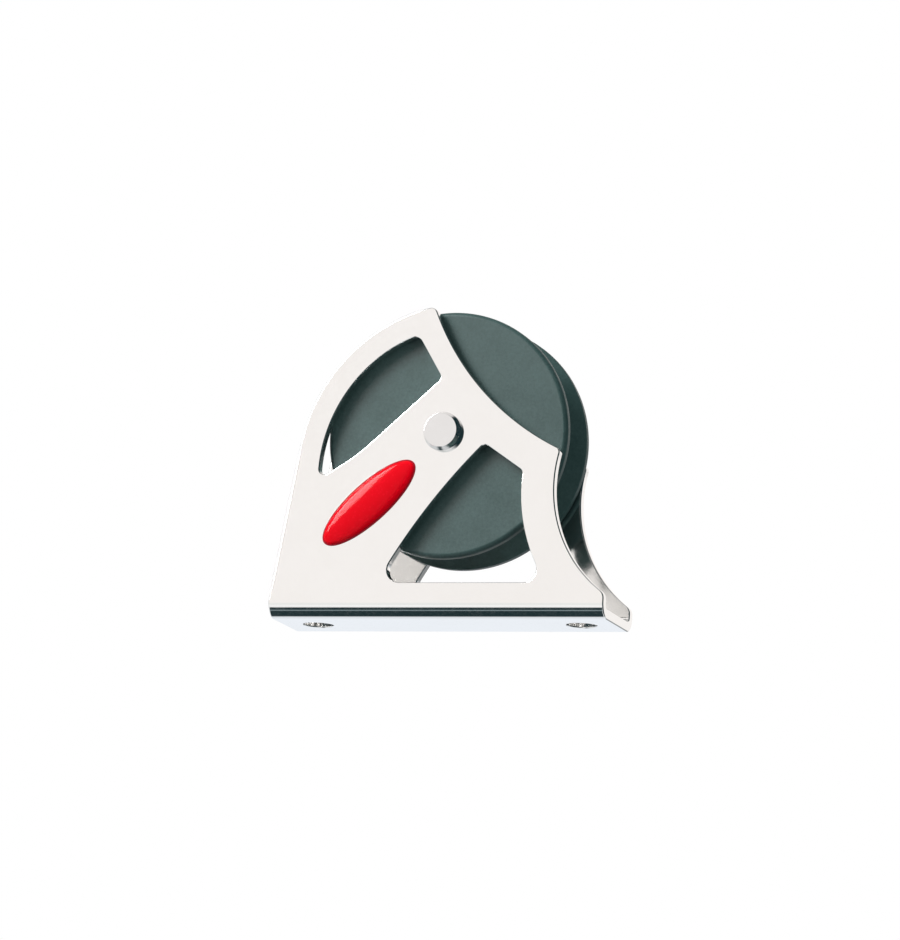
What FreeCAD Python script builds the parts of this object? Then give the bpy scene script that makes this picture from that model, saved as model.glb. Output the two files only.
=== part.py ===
"""Stand-up block: one rope sheave between the cheeks of a folded sheet frame.

Millimetres, +Z up. The base lies along X, the near cheek is at -Y and the far cheek at +Y.
The origin is the middle of the underside of the base.
"""
import FreeCAD
import Part

import math
import os

V = FreeCAD.Vector

# Sheave
sheave_diameter = 57.0
axle_height = 42.5
cheek_clearance = 0.35
rim_round = 1.1
groove_depth = 7.2
groove_root = 5.0
groove_flank = 23.5
rim_bands = 3
root_bands = 6

# Frame, one folded sheet
sheet = 2.4
frame_width = 23.5
base_length = 79.6
bend_radius = 3.6
heel_lean = 5.6
heel_height = 40.0
brow_margin = 1.3
brow_direction = 139.8
crest_margin = 0.95
crest_direction = 97.0
scoop_distance = 13.05
scoop_direction = 43.1
shoulder_margin = 0.25
shoulder_direction = -8.4
toe_height = 5.45
toe_bow = 5.5

# Corners of the cheek
crest_corner = 1.6
shoulder_corner = 1.2
toe_corner = 2.2

# Windows in the cheeks and the strut between them
strut_direction = 222.4
strut_upper = 10.05
strut_lower = 8.6
strut_flare = 7.6
strut_bow = 1.4
rim_strip = 5.55
crest_strip = 5.65
heel_strip = 6.05
upper_post = 7.7
upper_top_direction = 107.8
flare_run = 8.2
flare_drop = 5.7
lower_top = 5.55
shoulder_strip = 8.7
shoulder_cover = 4.8
toe_strip = 13.85
front_bow = 2.35
sill_height = 7.9
window_corner = 1.3
crest_window_corner = 2.0
sill_corner = 3.0
flare_corner = 40.0

# Deck fastenings
fastener_hole = 7.0
fastener_inset = 8.3

# Axle pin
pin_diameter = 6.0
pin_fit = 0.03
head_diameter = 9.0
head_height = 2.5
head_edge = 1.2
head_bevel = 0.65
rivet_diameter = 8.4
rivet_height = 1.4
rivet_edge = 0.4
rivet_bevel = 1.3

# Roller bearing
sleeve_wall = 1.2
roller_diameter = 2.4
roller_count = 10
roller_play = 0.02
cage_wall = 1.4
cage_end = 1.3
cage_play = 0.06
bush_wall = 1.6
washer_thickness = 0.8
washer_play = 0.05
washer_rim_gap = 0.3

# Badge on the strut of the near cheek
badge_length = 27.6
badge_width = 9.3
badge_distance = 23.45
badge_offset = -0.6
badge_film = 0.25
badge_border = 0.4
badge_rise = 1.1
badge_steps = 4

# Worked out from the sizes above
sheave_radius = sheave_diameter / 2
half_width = frame_width / 2
inner_half = half_width - sheet
sheave_half = inner_half - cheek_clearance
half_base = base_length / 2
fastener_spacing = base_length - 2 * fastener_inset
pin_radius = pin_diameter / 2
sleeve_radius = pin_radius + pin_fit + sleeve_wall
roller_radius = roller_diameter / 2
roller_orbit = sleeve_radius + roller_play + roller_radius
bush_inner = roller_orbit + roller_radius + roller_play
bush_radius = bush_inner + bush_wall
washer_face = inner_half - washer_play - washer_thickness
race_half = washer_face - washer_play
cage_half = race_half - washer_play
roller_half = cage_half - cage_end - cage_play


def about_axle(radius, degrees):
    """Point (x, z) of the cheek plane at a distance and a direction from the axle."""
    angle = math.radians(degrees)
    return (radius * math.cos(angle), axle_height + radius * math.sin(angle))


def on_strut(along, aside):
    """Point (x, z) by its distance from the axle down the strut and up across it."""
    angle = math.radians(strut_direction)
    x = along * math.cos(angle) + aside * math.sin(angle)
    z = axle_height + along * math.sin(angle) - aside * math.cos(angle)
    return (x, z)


def bowed(start, end, bow):
    """Middle of an arc from start to end that stands off its chord by bow, to the left of the way."""
    across, up = end[0] - start[0], end[1] - start[1]
    chord = math.hypot(across, up)
    middle_x = (start[0] + end[0]) / 2 - bow * up / chord
    middle_z = (start[1] + end[1]) / 2 + bow * across / chord
    return (middle_x, middle_z)


def at(point, depth=0.0):
    """Point of the cheek plane in space, at a depth along Y."""
    return V(point[0], depth, point[1])


def line(start, end):
    return Part.makeLine(at(start), at(end))


def arc(start, through, end):
    return Part.Arc(at(start), at(through), at(end)).toShape()


def prism(edges):
    """Solid of a closed outline of the cheek plane, as deep as the frame and a little past it."""
    reach = half_width + sheet
    face = Part.Face(Part.Wire(edges))
    face.translate(V(0, -reach, 0))
    return face.extrude(V(0, 2 * reach, 0))


def round_corners(solid, corners):
    """Round the edges along Y nearest to the given pairs of an (x, z) corner and a radius."""
    for corner, radius in corners:
        upright = []
        for edge in solid.Edges:
            first, last = edge.Vertexes[0].Point, edge.Vertexes[-1].Point
            if math.hypot(first.x - last.x, first.z - last.z) < 1e-6:
                gap = math.hypot(first.x - corner[0], first.z - corner[1])
                upright.append((gap, edge))
        nearest = min(upright, key=lambda pair: pair[0])[1]
        solid = solid.makeFillet(radius, [nearest]).Solids[0]
    return solid


def ring(outer, inner, start, end):
    """Tube about the axle between two depths."""
    foot = V(0, start, axle_height)
    body = Part.makeCylinder(outer, end - start, foot, V(0, 1, 0))
    return body.cut(Part.makeCylinder(inner, end - start, foot, V(0, 1, 0)))


def bend_points(x, y, radius, start, end, bands):
    """Points of a bend about (x, y), from one direction in degrees to another, in straight bands."""
    points = []
    for number in range(bands + 1):
        angle = math.radians(start + (end - start) * number / bands)
        points.append(V(x + radius * math.cos(angle), y + radius * math.sin(angle), 0))
    return points


def turned(points):
    """Solid turned about the axle from corners in x and y, where x is the distance from the axle."""
    outline = Part.makePolygon(points + points[:1])
    solid = Part.Face(outline).revolve(V(0, 0, 0), V(0, 1, 0), 360)
    solid.translate(V(0, 0, axle_height))
    return solid


def shoulder_point():
    """Corner of the outline under the open front of the sheave."""
    return about_axle(sheave_radius - shoulder_margin, shoulder_direction)


def cheek_outline():
    """Side outline of the frame: leaning heel, brow over the sheave, scooped front and flared toe."""
    foot = (-half_base, 0)
    heel_foot = (-half_base, bend_radius)
    heel_top = (heel_lean - half_base, heel_height)
    brow = about_axle(sheave_radius + brow_margin, brow_direction)
    crest = about_axle(sheave_radius + crest_margin, crest_direction)
    scoop = about_axle(scoop_distance, scoop_direction)
    shoulder = shoulder_point()
    toe = (half_base, toe_height)
    toe_foot = (half_base, 0)
    edges = [
        line(foot, heel_foot),
        line(heel_foot, heel_top),
        arc(heel_top, brow, crest),
        arc(crest, scoop, shoulder),
        arc(shoulder, bowed(shoulder, toe, -toe_bow), toe),
        line(toe, toe_foot),
        line(toe_foot, foot),
    ]
    corners = [
        (crest, crest_corner),
        (shoulder, shoulder_corner),
        (toe, toe_corner),
    ]
    return round_corners(prism(edges), corners)


def upper_window():
    """Window behind the sheave's upper left, between the rim strip and the strut."""
    lean = heel_lean / (heel_height - bend_radius)
    cosine = math.cos(math.radians(strut_direction))
    sine = math.sin(math.radians(strut_direction))
    # Way down the strut at which its upper edge comes within flare_run of the heel strip.
    level = lean * (axle_height - strut_upper * cosine - bend_radius)
    reach = heel_strip + flare_run - half_base + level - strut_upper * sine
    flare = on_strut(reach / (cosine - lean * sine), strut_upper)
    low_height = flare[1] - flare_drop
    low = (lean * (low_height - bend_radius) - half_base + heel_strip, low_height)
    middle = about_axle(sheave_radius + brow_margin - rim_strip, brow_direction)
    top = about_axle(sheave_radius + crest_margin - crest_strip, upper_top_direction)
    post = on_strut(-upper_post, strut_upper)
    edges = [arc(low, middle, top), line(top, post), line(post, flare), line(flare, low)]
    corners = [
        (low, window_corner),
        (top, crest_window_corner),
        (post, window_corner),
        (flare, flare_corner),
    ]
    return round_corners(prism(edges), corners)


def lower_window():
    """Window over the base, between the strut and the flared front strip."""
    shoulder = shoulder_point()
    top = on_strut(-lower_top, -strut_lower)
    right = (shoulder[0] - shoulder_strip, shoulder[1] - shoulder_cover)
    sill_right = (half_base - toe_strip, sill_height)
    strut_angle = math.radians(strut_direction)
    edge_foot = on_strut(0, -strut_lower - strut_flare)
    reach = (edge_foot[1] - sill_height) / -math.sin(strut_angle)
    sill_left = (edge_foot[0] + reach * math.cos(strut_angle), sill_height)
    edges = [
        line(top, right),
        arc(right, bowed(right, sill_right, -front_bow), sill_right),
        line(sill_right, sill_left),
        arc(sill_left, bowed(sill_left, top, strut_bow), top),
    ]
    corners = [
        (top, window_corner),
        (right, window_corner),
        (sill_right, sill_corner),
        (sill_left, sill_corner),
    ]
    return round_corners(prism(edges), corners)


def folded_section():
    """Channel with round bends, as long as the base and as high as the crest."""
    height = axle_height + sheave_radius + crest_margin + sheet
    corner = V(-half_base, -half_width, 0)
    outer = Part.makeBox(base_length, frame_width, height, corner)
    hollow_corner = V(-half_base, -inner_half, sheet)
    hollow = Part.makeBox(base_length, 2 * inner_half, height, hollow_corner)
    outer = round_bends(outer, bend_radius, 0)
    hollow = round_bends(hollow, bend_radius - sheet, sheet)
    return outer.cut(hollow)


def round_bends(box, radius, level):
    """Round the two lower edges of a box that run along X at the given level."""
    bends = []
    for edge in box.Edges:
        first, last = edge.Vertexes[0].Point, edge.Vertexes[-1].Point
        runs_along = abs(first.x - last.x) > base_length / 2
        if runs_along and abs(first.z - level) < 1e-6 and abs(last.z - level) < 1e-6:
            bends.append(edge)
    return box.makeFillet(radius, bends).Solids[0]


def make_side_frame():
    """Folded sheet cut to the cheek outline, with windows, pin bores and two deck holes."""
    frame = folded_section().common(cheek_outline())
    frame = frame.cut(upper_window()).cut(lower_window())
    bore = pin_radius + pin_fit
    across = 2 * half_width
    frame = frame.cut(Part.makeCylinder(bore, across, V(0, -half_width, axle_height), V(0, 1, 0)))
    for side in (-1, 1):
        foot = V(side * fastener_spacing / 2, 0, -sheet)
        frame = frame.cut(Part.makeCylinder(fastener_hole / 2, 3 * sheet, foot))
    return frame


def make_sheave():
    """Wheel with rounded rims, a rope groove of straight flanks and round root, and a bore for the bush."""
    rim = sheave_radius - rim_round
    rim_depth = sheave_half - rim_round
    root = sheave_radius - groove_depth + groove_root
    slope = math.radians(groove_flank)
    seat = root - groove_root * math.sin(slope)
    mouth = groove_root * math.cos(slope) + (sheave_radius - seat) * math.tan(slope)
    points = [V(bush_radius, -sheave_half, 0)]
    points += bend_points(rim, -rim_depth, rim_round, -90, 0, rim_bands)
    points.append(V(sheave_radius, -mouth, 0))
    points += bend_points(root, 0, groove_root, 270 - groove_flank, 90 + groove_flank, root_bands)
    points.append(V(sheave_radius, mouth, 0))
    points += bend_points(rim, rim_depth, rim_round, 0, 90, rim_bands)
    points.append(V(bush_radius, sheave_half, 0))
    return turned(points)


def make_axle_pin():
    """Pin with a bevelled head on the near cheek and a bevelled rivet end on the far cheek."""
    head = head_diameter / 2
    rivet = rivet_diameter / 2
    face = -half_width - head_height
    crown = half_width + rivet_height
    return turned([
        V(0, face, 0),
        V(head - head_bevel, face, 0),
        V(head, -half_width - head_edge, 0),
        V(head, -half_width, 0),
        V(pin_radius, -half_width, 0),
        V(pin_radius, half_width, 0),
        V(rivet, half_width, 0),
        V(rivet, half_width + rivet_edge, 0),
        V(rivet - rivet_bevel, crown, 0),
        V(0, crown, 0),
    ])


def roller_direction(number):
    """Direction of a roller from the axle, in degrees."""
    return 360.0 * number / roller_count


def make_roller(number):
    x, z = about_axle(roller_orbit, roller_direction(number))
    return Part.makeCylinder(roller_radius, 2 * roller_half, V(x, -roller_half, z), V(0, 1, 0))


def make_roller_cage():
    """Ring between the races with a round pocket along each roller and an end band beyond them."""
    cage = ring(roller_orbit + cage_wall / 2, roller_orbit - cage_wall / 2, -cage_half, cage_half)
    reach = roller_half + cage_play
    for number in range(roller_count):
        x, z = about_axle(roller_orbit, roller_direction(number))
        pocket = Part.makeCylinder(roller_radius + cage_play, 2 * reach, V(x, -reach, z), V(0, 1, 0))
        cage = cage.cut(pocket)
    return cage


def make_washer(side):
    """Flat ring between the end of the bearing and the cheek on one side."""
    near, far = sorted((side * washer_face, side * (washer_face + washer_thickness)))
    return ring(bush_radius - washer_rim_gap, sleeve_radius + washer_play, near, far)


def badge_place(depth):
    """Placement that lays a shape of the XY plane on the near cheek, long way down the strut."""
    centre = on_strut(badge_distance, badge_offset)
    turn = FreeCAD.Rotation(V(0, 1, 0), 180 - strut_direction)
    return FreeCAD.Placement(at(centre, depth), turn.multiply(FreeCAD.Rotation(V(1, 0, 0), 90)))


def make_badge_label():
    """Oval film on the near cheek."""
    outline = Part.Ellipse(V(0, 0, 0), badge_length / 2, badge_width / 2).toShape()
    label = Part.Face(Part.Wire([outline])).extrude(V(0, 0, badge_film))
    label.Placement = badge_place(-half_width)
    return label


def make_badge_dome():
    """Dome in rings that stands on the label inside its border, each ring an ellipse."""
    long_half = badge_length / 2 - badge_border
    wide_half = badge_width / 2 - badge_border
    rings = []
    for step in range(badge_steps):
        angle = math.radians(90.0 * step / badge_steps)
        share = math.cos(angle)
        centre = V(0, 0, badge_rise * math.sin(angle))
        outline = Part.Ellipse(centre, long_half * share, wide_half * share)
        rings.append(Part.Wire([outline.toShape()]))
    dome = Part.makeLoft(rings, True, True)
    dome.Placement = badge_place(-half_width - badge_film)
    return dome


def build():
    pieces = {
        "side_frame": make_side_frame(),
        "sheave": make_sheave(),
        "axle_pin": make_axle_pin(),
        "bearing_sleeve": ring(sleeve_radius, pin_radius + pin_fit, -inner_half, inner_half),
        "bearing_bush": ring(bush_radius, bush_inner, -race_half, race_half),
        "roller_cage": make_roller_cage(),
        "thrust_washer_near": make_washer(-1),
        "thrust_washer_far": make_washer(1),
        "badge_label": make_badge_label(),
        "badge_dome": make_badge_dome(),
    }
    for number in range(roller_count):
        pieces[f"roller_{number + 1:02d}"] = make_roller(number)
    return pieces


os.makedirs("parts", exist_ok=True)
for name, shape in build().items():
    shape.exportStep(f"parts/{name}.step")
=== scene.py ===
"""Looks of the stand-up block: a folded stainless side frame, a moulded sheave on a headed axle pin,
and a domed badge on the strut of the near cheek.

Sizes are in millimetres until a mesh is written, which is in metres. X runs along the base, Y across
it from the badge cheek to the other one, and Z up from the underside of the base.
"""
import logging
import math
from dataclasses import dataclass, field
from enum import Enum

import bpy
import numpy as np
from mathutils import Matrix, Vector
from mathutils.geometry import delaunay_2d_cdt


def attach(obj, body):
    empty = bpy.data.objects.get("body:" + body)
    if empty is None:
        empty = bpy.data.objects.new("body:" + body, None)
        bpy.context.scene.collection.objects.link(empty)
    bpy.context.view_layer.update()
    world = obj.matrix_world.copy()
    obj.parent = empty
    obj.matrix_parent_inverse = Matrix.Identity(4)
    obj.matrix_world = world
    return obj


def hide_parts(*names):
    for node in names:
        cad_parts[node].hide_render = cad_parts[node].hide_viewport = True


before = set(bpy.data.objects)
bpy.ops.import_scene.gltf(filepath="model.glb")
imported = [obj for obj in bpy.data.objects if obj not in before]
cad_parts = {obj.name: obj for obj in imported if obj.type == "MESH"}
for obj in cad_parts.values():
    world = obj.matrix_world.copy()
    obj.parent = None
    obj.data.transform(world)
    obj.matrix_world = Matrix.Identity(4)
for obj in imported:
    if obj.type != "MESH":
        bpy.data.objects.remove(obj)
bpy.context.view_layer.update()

METRES_PER_MM = 0.001
Array = np.ndarray
Triple = tuple[float, float, float]
Colour = Triple
WHITE: Colour = (1.0, 1.0, 1.0)
NEWTON_STEP, NEWTON_TURNS = 1e-5, 30
LENGTH_POINTS = 33
SAME_POINT = 1e-5

log = logging.getLogger("stand_up_block")


class Body(Enum):
    """The bodies of the mechanism that visible pieces ride on."""

    FRAME = "frame"
    WHEEL = "wheel"


class Side(Enum):
    """The cheek that carries the badge and the one behind it, by the sign of their Y."""

    NEAR = -1
    FAR = 1


@dataclass
class Skin:
    """A surface in millimetres: its points, the normal at each of them, and its faces.

    Attributes:
        points: one row of x, y, z per point.
        normals: one row per point, of unit length.
        faces: lists of point numbers, with three or four in each.
    """

    points: Array
    normals: Array
    faces: list[list[int]]

    def faced_out(self) -> "Skin":
        """Turn round each face whose own normal runs against those of its points."""
        corners = np.array([face[:3] for face in self.faces])
        first, second, third = (self.points[corners[:, k]] for k in range(3))
        own = np.cross(second - first, third - first)
        mean = self.normals[corners].sum(axis=1)
        against = np.einsum("ij,ij->i", own, mean) < 0
        faces = [face[::-1] if turn else face for face, turn in zip(self.faces, against)]
        return Skin(self.points, self.normals, faces)

    def make_object(self, name: str, finish: "Finish", body: Body, slot: str,
                    nodes: list[str]) -> bpy.types.Object:
        """Args:
            name: name of the piece.
            finish: the finish that makes its material.
            body: the body that the piece rides on.
            slot: the record's material slot; not used.
            nodes: the CAD nodes that the piece stands for.

        Returns:
            The new object, with its place in its mesh.
        """
        mesh = bpy.data.meshes.new(name)
        skin = self.faced_out()
        mesh.from_pydata((skin.points * METRES_PER_MM).tolist(), [], skin.faces)
        mesh.shade_smooth()
        mesh.normals_split_custom_set_from_vertices(skin.normals.tolist())
        mesh.materials.append(finish.material())
        piece = placed(name, mesh)
        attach(piece, body.value)
        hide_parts(*nodes)
        log.info("%s: %d points, %d faces", name, len(skin.points), len(skin.faces))
        return piece


def placed(name: str, data: bpy.types.ID) -> bpy.types.Object:
    """New object of the scene that shows a mesh, a lamp or a camera."""
    made = bpy.data.objects.new(name, data)
    bpy.context.scene.collection.objects.link(made)
    return made


def grid_faces(rows: Array) -> list[list[int]]:
    """Quads between neighbouring rows of a grid whose last column joins its first.

    Args:
        rows: for each row, the numbers of its points.

    Returns:
        Quads that run from each row to the next.
    """
    ahead = np.roll(rows, -1, axis=1)
    return np.stack([rows[:-1], ahead[:-1], ahead[1:], rows[1:]], axis=-1).reshape(-1, 4).tolist()


def capped_skin(rings: Array, normals: Array, poles: Array, pole_normals: Array) -> Skin:
    """Surface of rings of points, the first and the last of them closed over one point each.

    Args:
        rings: points by ring and by angle.
        normals: their normals.
        poles: the two points.
        pole_normals: the normals there.

    Returns:
        The closed surface.
    """
    count, segments = rings.shape[:2]
    rows = np.arange(count * segments).reshape(count, segments)
    faces = grid_faces(rows)
    for pole, ring in ((rows.size, rows[0]), (rows.size + 1, rows[-1])):
        faces += np.stack([np.full(segments, pole), ring, np.roll(ring, -1)], axis=-1).tolist()
    return Skin(np.vstack([rings.reshape(-1, 3), poles]), np.vstack([normals.reshape(-1, 3), pole_normals]), faces)


def unit(vectors: Array) -> Array:
    """Vectors of length one along the last axis."""
    return vectors / np.linalg.norm(vectors, axis=-1, keepdims=True)


def spokes(angles: Array) -> Array:
    """Plane vectors of length one at angles in radians."""
    return np.stack([np.cos(angles), np.sin(angles)], axis=-1)


def shaded(colour: Colour, share: float) -> Colour:
    """A share of a colour."""
    return tuple(share * part for part in colour)


def rounded_outline(corners: list[Triple], steps: int, closed: bool) -> tuple[Array, Array]:
    """Outline through corners with a round in each, run with the solid on its left.

    A round of radius r at a corner with turn w starts r tan(w / 2) before the corner. Its points lie
    at the centre plus r times a normal that turns evenly from the one edge's to the other's.

    Args:
        corners: each corner's two coordinates and the radius of its round.
        steps: segments in each round.
        closed: whether the last corner joins the first; an open outline keeps its two ends as they are.

    Returns:
        The outline's points and their outward normals.
    """
    table = np.array(corners, float)
    place, radius = table[:, :2], table[:, 2]
    before = unit(place - np.roll(place, 1, axis=0))
    after = unit(np.roll(place, -1, axis=0) - place)
    turn = np.arctan2(before[:, 0] * after[:, 1] - before[:, 1] * after[:, 0], (before * after).sum(axis=1))
    sign = np.where(turn < 0, -1.0, 1.0)
    start = np.arctan2(-before[:, 0], before[:, 1])
    angle = start[:, None] + turn[:, None] * np.linspace(0, 1, steps + 1)
    normals = spokes(angle)
    tangent = place - before * (radius * np.tan(abs(turn) / 2))[:, None]
    reach = (sign * radius)[:, None]
    centre = tangent - reach * normals[:, 0]
    points = centre[:, None] + reach[:, None] * normals
    if closed:
        return points.reshape(-1, 2), normals.reshape(-1, 2)
    inner_points, inner_normals = points[1:-1].reshape(-1, 2), normals[1:-1].reshape(-1, 2)
    first = np.array([after[0, 1], -after[0, 0]])
    last = np.array([before[-1, 1], -before[-1, 0]])
    return np.vstack([place[:1], inner_points, place[-1:]]), np.vstack([[first], inner_normals, [last]])


def turned_skin(points: Array, normals: Array, height: float, segments: int, closed: bool) -> Skin:
    """Surface that an outline makes when it goes round the axle.

    A point at radius r and depth y comes to (r cos a, y, height + r sin a) for a full turn of a. An
    open outline starts and ends on the axle, where its rows shrink to one point.

    Args:
        points: radius and depth of each point of the outline.
        normals: the outline's normals.
        height: height of the axle.
        segments: steps of the turn.
        closed: whether the outline's last point joins its first.

    Returns:
        The surface.
    """
    angle = np.linspace(0, 2 * np.pi, segments, endpoint=False)
    across, up = np.cos(angle), np.sin(angle)
    radius, depth = (points if closed else points[1:-1]).T
    out, along = (normals if closed else normals[1:-1]).T
    rings = np.stack([np.outer(radius, across), np.outer(depth, np.ones(segments)),
                      height + np.outer(radius, up)], axis=-1)
    leaning = np.stack([np.outer(out, across), np.outer(along, np.ones(segments)),
                        np.outer(out, up)], axis=-1)
    if closed:
        rows = np.arange(len(radius) * segments).reshape(len(radius), segments)
        return Skin(rings.reshape(-1, 3), leaning.reshape(-1, 3), grid_faces(np.vstack([rows, rows[:1]])))
    poles = np.array([[0, points[0, 1], height], [0, points[-1, 1], height]])
    pole_normals = np.array([[0, normals[0, 1], 0], [0, normals[-1, 1], 0]])
    return capped_skin(rings, leaning, poles, pole_normals)


@dataclass(frozen=True)
class Stroke:
    """An edge of an outline in x and z, run with the solid on its right.

    Attributes:
        start: first point.
        end: last point.
        bow: how far the edge stands off its chord to the left, 0 for a straight one.
    """

    start: tuple[float, float]
    end: tuple[float, float]
    bow: float = 0.0

    @classmethod
    def through(cls, start: tuple[float, float], middle: tuple[float, float],
                end: tuple[float, float]) -> "Stroke":
        """The arc through three points, by the centre of their circle."""
        first, second, third = (complex(*point) for point in (start, middle, end))
        ratio = (third - first) / (second - first)
        centre = first + (second - first) * (abs(ratio) ** 2 - ratio) / (ratio.conjugate() - ratio)
        left = (third - first) * 1j / abs(third - first)
        half_way = (first + third) / 2
        offset = ((centre - half_way) * left.conjugate()).real
        side = math.copysign(1.0, ((second - half_way) * left.conjugate()).real)
        return cls(start, end, offset + side * abs(centre - first))

    def at(self, way: Array) -> tuple[Array, Array]:
        """Points at shares of the way along the edge, and the normals to the left there.

        On an arc of radius R = (c^2 / 4 + b^2) / 2b the point turns about the centre by an even share
        of 4 atan(2b / c), where c is the chord and b the bow.

        Args:
            way: shares of the way, 0 at the start.

        Returns:
            Points and normals.
        """
        start, end = np.array(self.start), np.array(self.end)
        chord = np.linalg.norm(end - start)
        along = (end - start) / chord
        left = np.array([-along[1], along[0]])
        way = np.atleast_1d(way)[:, None]
        if self.bow == 0:
            return start + way * (end - start), np.repeat(left[None], len(way), axis=0)
        radius = (chord ** 2 / 4 + self.bow ** 2) / (2 * self.bow)
        centre = (start + end) / 2 + left * (self.bow - radius)
        sweep = -4 * math.atan(2 * self.bow / chord)
        first = math.atan2(*(start - centre)[::-1])
        angle = first + sweep * way[:, 0]
        spoke = spokes(angle)
        return centre + abs(radius) * spoke, spoke * math.copysign(1.0, self.bow)

    def length(self) -> float:
        """Length along the edge, to within a hair."""
        points, _ = self.at(np.linspace(0, 1, LENGTH_POINTS))
        return float(np.linalg.norm(np.diff(points, axis=0), axis=1).sum())


def corner_shares(before: Stroke, after: Stroke, radius: float) -> tuple[float, float]:
    """Where a round of a radius meets two edges: both, moved in by the radius, cross at its centre.

    Args:
        before: the edge that comes to the corner.
        after: the edge that leaves it.
        radius: radius of the round.

    Returns:
        The share of the way on each edge, found by Newton's steps from the corner.
    """
    shares = np.array([1.0, 0.0])

    def miss(pair: Array) -> Array:
        """Gap between the two edges moved in."""
        first, first_left = before.at(pair[:1])
        second, second_left = after.at(pair[1:])
        return (first - radius * first_left - second + radius * second_left)[0]

    for _ in range(NEWTON_TURNS):
        gap = miss(shares)
        slope = np.column_stack([(miss(shares + NEWTON_STEP * axis) - gap) / NEWTON_STEP for axis in np.eye(2)])
        shares = shares - np.linalg.solve(slope, gap)
    return float(shares[0]), float(shares[1])


def outline(strokes: list[Stroke], rounds: dict[int, float], closed: bool, spacing: float = 1.0,
            round_steps: int = 8) -> tuple[Array, Array]:
    """Points and outward normals of edges with rounds between some of them.

    Args:
        strokes: the edges in order.
        rounds: radius of the round at the end of an edge, by the edge's number.
        closed: whether the last edge joins the first.
        spacing: longest step along an edge.
        round_steps: segments of a round.

    Returns:
        Points, each once, and their normals.
    """
    begin, finish = [0.0] * len(strokes), [1.0] * len(strokes)
    for number, radius in rounds.items():
        following = (number + 1) % len(strokes)
        finish[number], begin[following] = corner_shares(strokes[number], strokes[following], radius)
    points, normals = [], []
    for number, stroke in enumerate(strokes):
        share = finish[number] - begin[number]
        count = 1 + math.ceil(stroke.length() * share / spacing)
        place, left = stroke.at(np.linspace(begin[number], finish[number], count + 1))
        radius = rounds.get(number)
        keep_end = radius is not None or (not closed and number == len(strokes) - 1)
        points.append(place if keep_end else place[:-1])
        normals.append(left if keep_end else left[:-1])
        if radius is not None:
            following = (number + 1) % len(strokes)
            _, next_left = strokes[following].at(np.array([begin[following]]))
            first = math.atan2(left[-1, 1], left[-1, 0])
            last = math.atan2(next_left[0, 1], next_left[0, 0])
            turn = (last - first + math.pi) % (2 * math.pi) - math.pi
            angle = first + turn * np.linspace(0, 1, round_steps + 1)[1:-1]
            spoke = spokes(angle)
            points.append(place[-1] - radius * left[-1] + radius * spoke)
            normals.append(spoke)
    return np.vstack(points), np.vstack(normals)


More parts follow.
